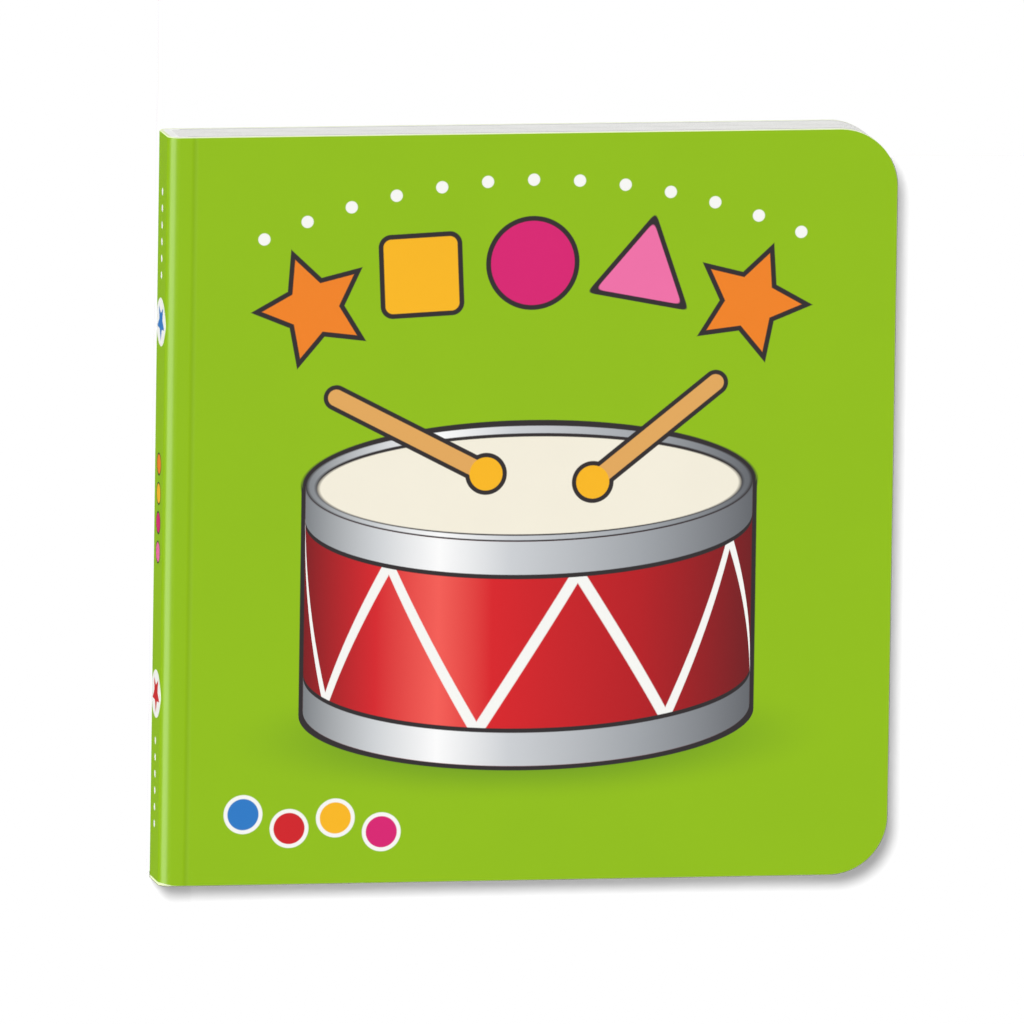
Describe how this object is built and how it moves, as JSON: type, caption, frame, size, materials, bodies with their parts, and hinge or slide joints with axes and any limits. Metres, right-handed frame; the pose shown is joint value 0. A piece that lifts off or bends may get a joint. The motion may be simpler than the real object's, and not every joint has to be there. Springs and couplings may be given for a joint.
{
  "type": "board book",
  "caption": "Square board book for a small child: thick card leaves with rounded fore-edge corners in a wrap-round laminated cover, scored beside the spine so that both covers open.",
  "frame": {"origin": "on the table under the middle of the closed book, which lies on its back cover", "axes": "+X from the spine to the fore-edge, +Y from the tail to the head of the cover, +Z from the back cover to the front cover"},
  "size_m": [0.15, 0.153, 0.0132],
  "materials": {
    "cover_card": "satin",
    "leaf_board": "satin"
  },
  "bodies": {
    "block": {"page_block": "leaf_board", "spine": "cover_card"},
    "front": {"front_cover": "cover_card"},
    "back": {"back_cover": "cover_card"}
  },
  "joints": [
    {"name": "front_cover_hinge", "type": "hinge", "parent": "block", "child": "front", "pos_m": [-0.0696, 0, 0.0132], "axis": [0, -1, 0], "range_deg": [0, 175]},
    {"name": "back_cover_hinge", "type": "hinge", "parent": "block", "child": "back", "pos_m": [-0.0696, 0, 0], "axis": [0, 1, 0], "range_deg": [0, 175]}
  ]
}
